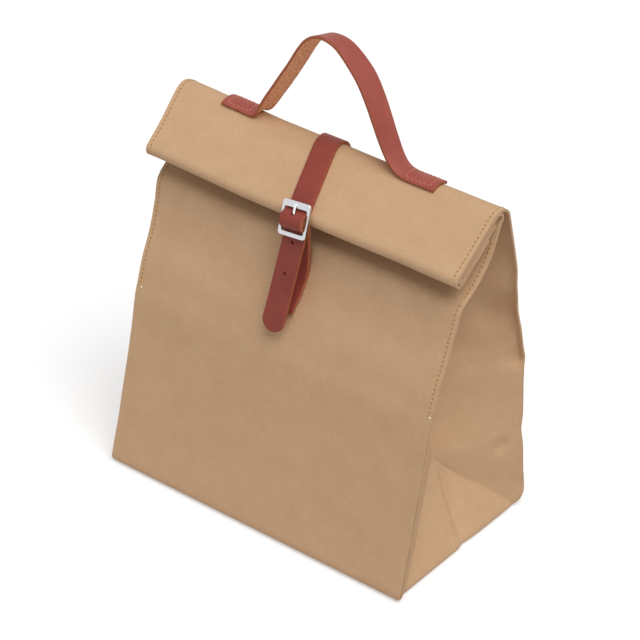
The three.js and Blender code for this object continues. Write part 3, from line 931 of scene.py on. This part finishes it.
def sew_edges(sizes, colours):
    """Stitches, dark dots of painted shade for the needle holes between them, and the thread's ends at the
    foot of the front seams.
    """
    face = sizes.paper / MM / 2
    pitch = sizes.stitch / MM
    seams = edge_seams(face + THREAD_LIFT)
    stitches = sew("edge_stitches", seams, sizes.thread / MM, pitch)
    stitches.data.materials.append(sewing_thread("paper_thread", colours.thread))
    # Dark flattened dots between the stitches: painted shade of the needle holes
    hole_shade_dots = sew("needle_hole_shade_dots", edge_seams(face - NEEDLE_SINK), NEEDLE, pitch, NEEDLE / pitch, 0)
    hole_shade_dots.data.materials.append(painted_hole_shade(colours))
    feet = [[seam[0], (seam[0][0] + Vector((THREAD_END, 0, 0)), seam[0][1])] for seam in seams[::2]]
    ends = sew("thread_ends", feet, 2 * sizes.thread / MM, THREAD_END, 1)
    ends.data.materials.append(sewing_thread("thread_end", colours.thread_end))
    return stitches, hole_shade_dots, ends


# Leather straps


class Station:
    """A place along a strap: its middle, the directions across and out of it, its width and its curl."""

    def __init__(self, at, across, width, curl=0.0):
        self.at = at
        self.across = across
        self.out = None
        self.width = width
        self.curl = curl

    def point(self, w, lift=0.0):
        """A point w across the strap and lift out of its middle, with the strap curled over the ridge."""
        if abs(self.curl) < 1e-6:
            return self.at + self.across * w + self.out * lift
        angle = w * self.curl
        sideways = math.sin(angle) * (1 / self.curl + lift)
        rise = math.cos(angle) * (1 / self.curl + lift) - 1 / self.curl
        return self.at + self.across * sideways + self.out * rise

    def normal(self, w):
        angle = w * self.curl
        return self.across * math.sin(angle) + self.out * math.cos(angle)


def smooth_values(values, shares):
    """Reads a list of values between its entries with smooth tangents."""
    found = []
    for share in shares:
        i = min(int(share), len(values) - 2)
        t = share - i
        a, b = values[i], values[i + 1]
        before, after = values[max(i - 1, 0)], values[min(i + 2, len(values) - 1)]
        leave, arrive = (b - before) * 0.5, (after - a) * 0.5
        bend = t * t * (3 - 2 * t)
        found.append(mix(a, b, bend) + leave * (t * (1 - t) ** 2) + arrive * (t * t * (t - 1)))
    return found


def fine_stations(stations, steps, twists=None):
    """Fills in stations between the given ones and sets each one's square directions."""
    count = len(stations) - 1
    shares = [i / steps for i in range(count * steps + 1)]
    places = smooth_values([s.at for s in stations], shares)
    sides = smooth_values([s.across for s in stations], shares)
    widths = smooth_values([s.width for s in stations], shares)
    curls = smooth_values([s.curl for s in stations], shares)
    turns = smooth_values(twists or [0.0] * len(stations), shares)
    fine = []
    for i in range(len(places)):
        heading = (places[min(i + 1, len(places) - 1)] - places[max(i - 1, 0)]).normalized()
        across = (sides[i] - heading * sides[i].dot(heading)).normalized()
        across = Matrix.Rotation(math.radians(turns[i]), 3, heading) @ across
        station = Station(places[i], across, widths[i], max(curls[i], 0))
        station.out = heading.cross(across)
        fine.append(station)
    return fine


def strap_band(name, stations, thickness, materials):
    """A leather band along its stations, smooth side out, with eased edges."""
    columns = STRAP_COLUMNS

    def place(row, column):
        station = stations[row]
        w = station.width * (0.5 - column / (columns - 1))
        return settle(station.point(w))

    band = shaped_grid(name, columns, len(stations), place)
    for material in materials:
        band.data.materials.append(material)
    apply_modifier(
        band, "SOLIDIFY", thickness=thickness, offset=0, material_offset=1, material_offset_rim=2,
    )
    return band


def ease_edges(piece, width, segments=2, degrees=50):
    apply_modifier(
        piece, "BEVEL", width=width * MM, segments=segments, limit_method="ANGLE",
        angle_limit=math.radians(degrees), harden_normals=False,
    )
    smooth_shade(piece, 40)


def leather_set(colours, name, light, dark):
    """Smooth side, flesh side and cut edge, in the order that a band uses them."""
    return [
        bpy.data.materials.get(name) or smooth_leather(name, light, dark),
        bpy.data.materials.get("leather_flesh_side")
        or rough_leather("leather_flesh_side", colours.flesh, colours.flesh_dark, 1.3),
        bpy.data.materials.get("leather_cut_edge")
        or rough_leather("leather_cut_edge", colours.leather_edge, colours.leather, 0.9),
    ]


def handle_stations():
    wrap = 1 / (RIDGE_RADIUS + HANDLE_LIFT + LEATHER / 2)
    rough = [
        Station(Vector((x, RIDGE.x, z)), Vector((0, 1, 0)), HANDLE_WIDTH, wrap * wrapped)
        for x, z, _, wrapped in HANDLE_STATIONS
    ]
    return fine_stations(rough, 5, [float(row[2]) for row in HANDLE_STATIONS])


def tab_seam(stations, low, high):
    """A box of stitches round a handle end, between two places along x."""
    run = [s for s in stations if low <= s.at.x <= high]
    inset = HANDLE_WIDTH / 2 - TAB_INSET
    lift = LEATHER / 2 + LEATHER_THREAD_LIFT

    def side(w, along):
        return [(settle(s.point(w, lift)), s.normal(w)) for s in along]

    def end(station):
        ws = [mix(-inset, inset, i / 8) for i in range(9)]
        return [(settle(station.point(w, lift)), station.normal(w)) for w in ws]

    return [side(-inset, run), side(inset, run), end(run[0]), end(run[-1])]


def make_handle(sizes, colours):
    stations = handle_stations()
    # The handle's material is a lighter copy of the strap leather: painted light
    materials = leather_set(colours, "handle_leather_painted_light", colours.handle, colours.lit_handle_dark)
    handle = strap_band("leather_handle", stations, sizes.leather, materials)
    ease_edges(handle, 0.35)
    seams = []
    for low, high in TAB_SEAMS:
        seams += tab_seam(stations, low, high)
    stitches = sew("handle_stitches", seams, sizes.thread / MM, sizes.leather_stitch / MM)
    stitches.data.materials.append(sewing_thread("leather_thread", colours.leather_thread))
    return handle, stitches


TO_BUCKLE = (
    Matrix.Translation(BUCKLE_CENTRE)
    @ Matrix.Rotation(math.pi / 2 - BUCKLE_TILT, 4, "X")
    @ Matrix.Rotation(BUCKLE_ROLL, 4, "Z")
)
BUCKLE_ACROSS = (TO_BUCKLE.to_3x3() @ Vector((1, 0, 0))).normalized()
X_AXIS = Vector((1, 0, 0))


def from_bar(up, out, across=0.0):
    return TO_BUCKLE @ Vector((across, BAR_HEIGHT + up, out))


def panel_normal(panel, height, facing):
    slope = (panel(height + 2) - panel(height - 2)) / 4
    return Vector((0, facing, -facing * slope)).normalized()


def closure_stations():
    lift = STRAP_LIFT
    rough = []
    for height in STRAP_BACK_HEIGHTS:
        on_back = Vector((STRAP_RIDGE_X, back_at(height), height))
        rough.append((on_back + panel_normal(back_at, height, 1) * lift, X_AXIS))
    for i in range(BEND_STEPS + 1):
        share = i / BEND_STEPS
        angle = mix(BACK_SLOPE, math.pi / 2 + FACE_SLOPE, share)
        y = RIDGE.x + (RIDGE_RADIUS + lift) * math.cos(angle)
        z = RIDGE.y + (RIDGE_RADIUS + lift) * math.sin(angle)
        x = STRAP_RIDGE_X + STRAP_RIDGE_DRIFT * share ** 2
        rough.append((Vector((x, y, z)), X_AXIS))
    face_normal = Vector((0, -math.sin(FACE_SLOPE), math.cos(FACE_SLOPE)))
    across_face = (BUCKLE_ACROSS - face_normal * BUCKLE_ACROSS.dot(face_normal)).normalized()
    ridge_end = rough[-1][0]
    foot = roll_point(FACE_LENGTH, -lift)
    leaves = Vector((STRAP_FACE_X, foot.x, foot.y))
    rough += [(mix(ridge_end, leaves, share), across_face) for share in (0.3, 0.6, 0.9, 1)]
    for i in range(BEND_STEPS + 1):
        angle = mix(*STRAP_LOOP, i / BEND_STEPS)
        at = from_bar(STRAP_LOOP_RADIUS * math.cos(angle), STRAP_LOOP_RADIUS * math.sin(angle))
        rough.append((at, BUCKLE_ACROSS))
    below = [from_bar(up, out) for up, out in STRAP_BELOW_BAR]
    rough += [(at, BUCKLE_ACROSS) for at in below]
    tail = STRAP_TAIL_END - below[-1]
    reach = tail.length
    rough += [(below[-1] + tail * share, mix(BUCKLE_ACROSS, X_AXIS, share)) for share in TAIL_SHARES]
    stations = fine_stations([Station(at, across, STRAP_WIDTH) for at, across in rough], 4)
    return round_end(stations, below[-1], tail / reach)


def round_end(stations, start, along):
    """Adds a half-round end to a strap."""
    last = stations[-1]
    radius = last.width / 2
    for i in range(1, END_STEPS + 1):
        angle = math.pi / 2 * i / END_QUARTER
        end = Station(last.at + along * radius * math.sin(angle), last.across, 2 * radius * math.cos(angle))
        end.out = last.out
        stations.append(end)
    return stations


def cutter(kind, matrix, **settings):
    deselect()
    getattr(bpy.ops.mesh, kind)(**settings)
    tool = bpy.context.object
    tool.data.transform(matrix)
    return tool


def cut(piece, tool):
    apply_modifier(
        piece, "BOOLEAN", operation="DIFFERENCE", solver="EXACT", object=tool,
        use_self=True, use_hole_tolerant=True,
    )
    bpy.data.objects.remove(tool)


def prong_slot(up, out):
    size = Vector((PRONG_SLOT, up[1] - up[0], out[1] - out[0])) * MM
    centre = Vector((0, BAR_HEIGHT + sum(up) / 2, sum(out) / 2)) * MM
    place = metres(TO_BUCKLE) @ Matrix.Translation(centre) @ Matrix.Diagonal((*size, 1))
    return cutter("primitive_cube_add", place, size=1)


def strap_leather(colours):
    return leather_set(colours, "strap_leather", colours.leather, colours.leather_dark)


def metres(matrix):
    """The same placing for a mesh in metres."""
    scaled = matrix.copy()
    scaled.translation = matrix.translation * MM
    return scaled


def make_closure_strap(sizes, colours):
    stations = closure_stations()
    strap = strap_band("closure_strap_leather", stations, sizes.leather, strap_leather(colours))
    cut(strap, prong_slot(STRAP_SLOT_UP, STRAP_SLOT_OUT))
    start = from_bar(*STRAP_BELOW_BAR[-1])
    along = (STRAP_TAIL_END - start).normalized()
    out = along.cross(X_AXIS).normalized()
    turn = out.to_track_quat("Z", "Y").to_matrix().to_4x4()
    for distance in HOLE_DISTANCES:
        place = metres(Matrix.Translation(start + along * distance)) @ turn
        punch = cutter(
            "primitive_cylinder_add", place, vertices=20, radius=PUNCH_RADIUS * MM, depth=4 * LEATHER * MM
        )
        cut(strap, punch)
    ease_edges(strap, 0.3)
    run = [s for s in stations if s.at.y > 0 and s.at.z < BACK_PATCH_TOP]
    inset = STRAP_WIDTH / 2 - TAB_INSET
    lift = LEATHER / 2 + LEATHER_THREAD_LIFT
    seams = [[(settle(s.point(w, lift)), s.out) for s in run[1:]] for w in (-inset, inset)]
    for s in (run[1], run[-1]):
        ws = [mix(-inset, inset, i / 4) for i in range(5)]
        seams.append([(settle(s.point(w, lift)), s.out) for w in ws])
    stitches = sew("closure_strap_stitches", seams, sizes.thread / MM, sizes.leather_stitch / MM)
    stitches.data.materials.append(bpy.data.materials["leather_thread"])
    return strap, stitches


def buckle_strap_stations():
    bar = from_bar(0, 0)
    landing = Vector((BUCKLE_CENTRE.x, front_at(BUCKLE_STRAP_LANDING), BUCKLE_STRAP_LANDING))
    rise = bar - landing
    rise = (rise - BUCKLE_ACROSS * rise.dot(BUCKLE_ACROSS)).normalized()
    face = rise.cross(BUCKLE_ACROSS).normalized()

    def on_panel(height, offset):
        low = BUCKLE_STRAP_UP[0]
        x = mix(BUCKLE_STRAP_FOOT_X, BUCKLE_CENTRE.x, (height - low) / (BUCKLE_STRAP_LANDING - low))
        return Vector((x, front_at(height), height)) + panel_normal(front_at, height, -1) * offset

    def near_bar(along, out):
        return bar + rise * along - face * out

    rough = [(on_panel(height, FRONT_LAYER), X_AXIS) for height in BUCKLE_STRAP_UP]
    rough += [(near_bar(along, out), BUCKLE_ACROSS) for along, out in reversed(LOOP_NECK)]
    for i in range(BEND_STEPS + 1):
        angle = mix(LOOP_SWING, -LOOP_SWING, i / BEND_STEPS)
        at = near_bar(LOOP_RADIUS * math.cos(angle), LOOP_RADIUS * math.sin(angle))
        rough.append((at, BUCKLE_ACROSS))
    rough += [(near_bar(along, -out), BUCKLE_ACROSS) for along, out in LOOP_NECK]
    rough += [(on_panel(height, BACK_LAYER), X_AXIS) for height in BUCKLE_STRAP_DOWN]
    return fine_stations([Station(at, -across, BUCKLE_STRAP_WIDTH) for at, across in rough], 3)


def make_buckle_strap(sizes, colours):
    stations = buckle_strap_stations()
    strap = strap_band("buckle_strap_leather", stations, sizes.lining, strap_leather(colours))
    cut(strap, prong_slot(LOOP_SLOT_UP, LOOP_SLOT_OUT))
    ease_edges(strap, 0.25)
    return strap


# Buckle


def rounded_plate(name, width, height, thickness, corner):
    """A cube shaped to a plate with round corners, lying flat."""
    deselect()
    bpy.ops.mesh.primitive_cube_add(size=1)
    plate = bpy.context.object
    plate.name = name
    plate.data.transform(Matrix.Diagonal((width * MM, height * MM, thickness * MM, 1)))
    bpy.ops.object.mode_set(mode="EDIT")
    bpy.ops.mesh.select_mode(type="EDGE")
    bpy.ops.mesh.select_all(action="DESELECT")
    bpy.ops.object.mode_set(mode="OBJECT")
    for edge in plate.data.edges:
        a, b = (plate.data.vertices[i].co for i in edge.vertices)
        edge.select = abs(a.z - b.z) > thickness * MM / 2
    bpy.ops.object.mode_set(mode="EDIT")
    bpy.ops.mesh.bevel(offset=corner * MM, offset_type="OFFSET", segments=8, affect="EDGES")
    bpy.ops.object.mode_set(mode="OBJECT")
    return plate


def along_x(radius, width, sides, height=0.0):
    """A cylinder whose axis lies along x."""
    place = Matrix.Translation((0, height * MM, 0)) @ Matrix.Rotation(math.pi / 2, 4, "Y")
    return cutter(
        "primitive_cylinder_add", place, vertices=sides, radius=radius * MM, depth=width * MM
    )


def unite(piece, other):
    apply_modifier(piece, "BOOLEAN", operation="UNION", solver="EXACT", object=other)
    bpy.data.objects.remove(other)


def make_frame(colours):
    plate = rounded_plate(
        "buckle_frame_metal", WINDOW_WIDTH + 2 * SIDE_BAR, BUCKLE_HEIGHT, FRAME_THICKNESS, FRAME_CORNER
    )
    window_height = BUCKLE_HEIGHT - TOP_BAR - BOTTOM_BAR
    window = rounded_plate("window", WINDOW_WIDTH, window_height, 3 * FRAME_THICKNESS, WINDOW_CORNER)
    window.data.transform(Matrix.Translation((0, BAR_HEIGHT * MM, 0)))
    cut(plate, window)
    ease_edges(plate, 0.45, 3, 60)
    unite(plate, along_x(BAR_RADIUS, WINDOW_WIDTH + SIDE_BAR, 24, BAR_HEIGHT))
    smooth_shade(plate, 35)
    plate.data.transform(metres(TO_BUCKLE))
    plate.data.materials.append(nickel_plate(colours))
    return plate


def make_prong():
    tongue = rounded_plate(
        "buckle_prong_metal", PRONG_WIDTH, PRONG_LENGTH, EYE_OUTER - PRONG_FOOT, PRONG_WIDTH / 2 - 0.1
    )
    middle = (0, PRONG_LENGTH / 2 * MM, (EYE_OUTER + PRONG_FOOT) / 2 * MM)
    tongue.data.transform(Matrix.Translation(middle))
    ease_edges(tongue, 0.3, 2, 60)
    unite(tongue, along_x(EYE_OUTER, EYE_WIDTH, 32))
    cut(tongue, along_x(EYE_INNER, 2 * EYE_WIDTH, 32))
    smooth_shade(tongue, 35)
    tongue.data.transform(metres(TO_BUCKLE @ Matrix.Translation((0, BAR_HEIGHT, 0))))
    tongue.data.materials.append(bpy.data.materials["nickel_plate"])
    return tongue


# Stage


def make_floor():
    deselect()
    bpy.ops.mesh.primitive_plane_add(size=FLOOR_SIZE)
    floor = bpy.context.object
    floor.name = "studio_floor"
    floor.data.materials.append(studio_floor())


def make_world():
    world = bpy.data.worlds.new("studio")
    bpy.context.scene.world = world
    world.use_nodes = True
    tree = world.node_tree
    ground = tree.nodes["Background"]
    ground.inputs["Color"].default_value = rgba(linear("FFFFFF"))
    seen = seen_rays(tree)
    strength = add_node(tree, "ShaderNodeMapRange", {
        "Value": (seen, 0), "To Min": WORLD_LIGHT, "To Max": 1.0})
    tree.links.new(strength.outputs[0], ground.inputs["Strength"])


def direction(azimuth, elevation):
    """From the object towards a lamp or the camera; azimuth 0 is straight in front."""
    level = math.cos(elevation)
    return Vector((math.sin(azimuth) * level, -math.cos(azimuth) * level, math.sin(elevation)))


def make_lamp(name, azimuth, elevation, strength, spread):
    lamp = bpy.data.lights.new(name, "SUN")
    lamp.energy = strength
    lamp.angle = math.radians(spread)
    light = bpy.data.objects.new(name, lamp)
    back = direction(math.radians(azimuth), math.radians(elevation))
    light.rotation_mode = "QUATERNION"
    light.rotation_quaternion = back.to_track_quat("Z", "Y")
    bpy.context.collection.objects.link(light)


def make_camera():
    back = direction(CAMERA_AZIMUTH, CAMERA_ELEVATION)
    right = Vector((math.cos(CAMERA_AZIMUTH), math.sin(CAMERA_AZIMUTH), 0))
    up = back.cross(right)
    turned_right = right * math.cos(CAMERA_ROLL) + up * math.sin(CAMERA_ROLL)
    turned_up = up * math.cos(CAMERA_ROLL) - right * math.sin(CAMERA_ROLL)
    view = bpy.data.cameras.new("camera")
    view.lens = CAMERA_LENS
    view.sensor_width = SENSOR
    view.clip_end = 100
    camera = bpy.data.objects.new("camera", view)
    turn = Matrix((turned_right, turned_up, back)).transposed().to_4x4()
    camera.matrix_world = Matrix.Translation((CAMERA_TARGET + back * CAMERA_DISTANCE) * MM) @ turn
    bpy.context.collection.objects.link(camera)
    bpy.context.scene.camera = camera


# Operators


class LUNCHBAG_OT_paper(bpy.types.Operator):
    """Fold the kraft paper: panels, gussets, base and rolled top"""

    bl_idname = "lunch_bag.paper"
    bl_label = "Fold Paper Bag"

    def execute(self, context):
        bag = fold_bag(context.scene.lunch_bag_sizes, context.scene.lunch_bag_colours)
        hand_over(bag, "bag", "kraft_paper", "bag")
        return {"FINISHED"}


class LUNCHBAG_OT_sewing(bpy.types.Operator):
    """Sew the upright edges and the ends of the roll"""

    bl_idname = "lunch_bag.sewing"
    bl_label = "Sew Paper Edges"

    def execute(self, context):
        for piece in sew_edges(context.scene.lunch_bag_sizes, context.scene.lunch_bag_colours):
            hand_over(piece, "bag", "kraft_paper")
        return {"FINISHED"}


class LUNCHBAG_OT_handle(bpy.types.Operator):
    """Make the leather handle and sew its two ends to the ridge"""

    bl_idname = "lunch_bag.handle"
    bl_label = "Make Handle"

    def execute(self, context):
        handle, stitches = make_handle(context.scene.lunch_bag_sizes, context.scene.lunch_bag_colours)
        hand_over(handle, "bag", "leather", "handle")
        hand_over(stitches, "bag", "leather")
        return {"FINISHED"}


class LUNCHBAG_OT_straps(bpy.types.Operator):
    """Make the closure strap and the short strap that holds the buckle"""

    bl_idname = "lunch_bag.straps"
    bl_label = "Make Straps"

    def execute(self, context):
        sizes, colours = context.scene.lunch_bag_sizes, context.scene.lunch_bag_colours
        strap, stitches = make_closure_strap(sizes, colours)
        hand_over(strap, "bag", "leather", "closure_strap")
        hand_over(stitches, "bag", "leather")
        hand_over(make_buckle_strap(sizes, colours), "bag", "leather", "buckle_strap")
        return {"FINISHED"}


class LUNCHBAG_OT_buckle(bpy.types.Operator):
    """Make the buckle's frame and its prong"""

    bl_idname = "lunch_bag.buckle"
    bl_label = "Make Buckle"

    def execute(self, context):
        hand_over(make_frame(context.scene.lunch_bag_colours), "bag", "nickel_plate", "buckle_frame")
        hand_over(make_prong(), "prong", "nickel_plate", "buckle_prong")
        return {"FINISHED"}


class LUNCHBAG_OT_stage(bpy.types.Operator):
    """Set the camera, the light and the floor"""

    bl_idname = "lunch_bag.stage"
    bl_label = "Set Stage"

    def execute(self, context):
        make_camera()
        make_floor()
        make_world()
        for lamp in LAMPS:
            make_lamp(*lamp)
        context.scene.view_settings.view_transform = "Standard"
        return {"FINISHED"}


class LUNCHBAG_PT_panel(bpy.types.Panel):
    """Steps and settings of the lunch bag"""

    bl_idname = "LUNCHBAG_PT_panel"
    bl_label = "Lunch Bag"
    bl_space_type = "VIEW_3D"
    bl_region_type = "UI"
    bl_category = "Lunch Bag"

    def draw(self, context):
        for step in STEPS:
            self.layout.operator(step.bl_idname)
        for group in (context.scene.lunch_bag_sizes, context.scene.lunch_bag_colours):
            column = self.layout.column()
            for name in group.__annotations__:
                column.prop(group, name)


STEPS = (
    LUNCHBAG_OT_stage,
    LUNCHBAG_OT_paper,
    LUNCHBAG_OT_sewing,
    LUNCHBAG_OT_handle,
    LUNCHBAG_OT_straps,
    LUNCHBAG_OT_buckle,
)
CLASSES = (LunchBagSizes, LunchBagColours, *STEPS, LUNCHBAG_PT_panel)


def register():
    noise.seed_set(WAVE_SEED)
    for item in CLASSES:
        bpy.utils.register_class(item)
    bpy.types.Scene.lunch_bag_sizes = PointerProperty(type=LunchBagSizes)
    bpy.types.Scene.lunch_bag_colours = PointerProperty(type=LunchBagColours)


def unregister():
    del bpy.types.Scene.lunch_bag_colours
    del bpy.types.Scene.lunch_bag_sizes
    for item in reversed(CLASSES):
        bpy.utils.unregister_class(item)


def main():
    register()
    for step in STEPS:
        group, name = step.bl_idname.split(".")
        getattr(getattr(bpy.ops, group), name)()


if __name__ == "__main__":
    main()
